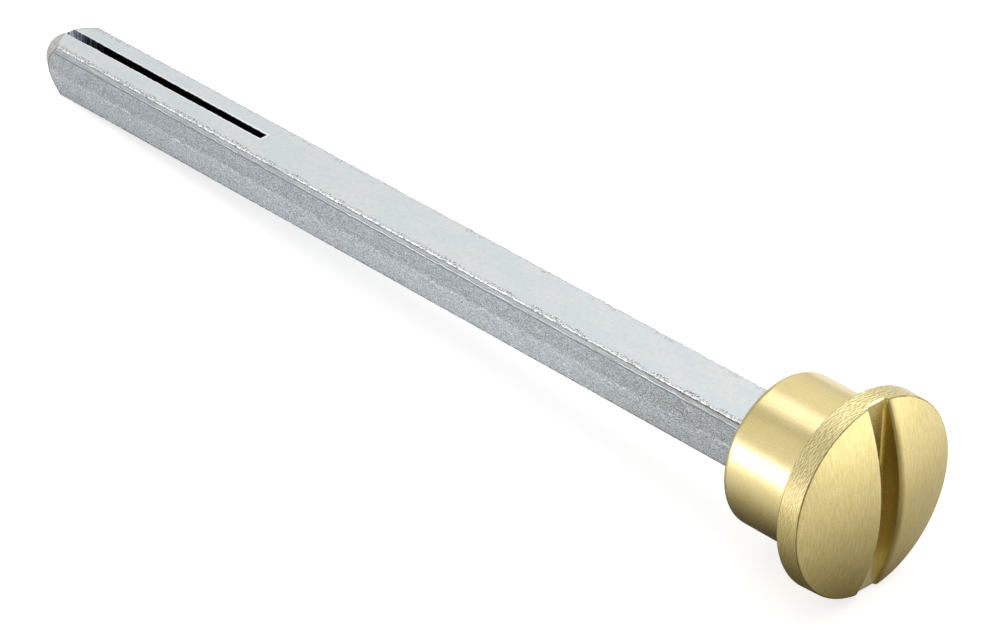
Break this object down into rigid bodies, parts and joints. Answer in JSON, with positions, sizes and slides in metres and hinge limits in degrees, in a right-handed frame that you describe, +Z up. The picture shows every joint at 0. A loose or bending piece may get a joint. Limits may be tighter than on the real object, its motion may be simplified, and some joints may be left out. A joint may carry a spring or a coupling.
{
  "type": "slotted-head release spindle",
  "caption": "Square split spindle bar pressed into a round brass head with collar, flange and domed coin-slotted face, for releasing a door lock from outside.",
  "frame": {"origin": "centre of the bounding box at the level of the surface that the spindle lies on", "axes": "+X from the split tip to the slotted head, seen from above; +Z up; the spindle's own axis rises 3.68 degrees towards the head, because the flange is wider than the bar"},
  "size_m": [0.1036, 0.0176, 0.0177],
  "materials": {
    "zinc_plated_steel": "zinc plated, satin, with sheared sides",
    "satin_brass": "satin brushed, lacquered"
  },
  "bodies": {
    "root": {"spindle_bar": "zinc_plated_steel", "slotted_head": "satin_brass"}
  },
  "joints": []
}
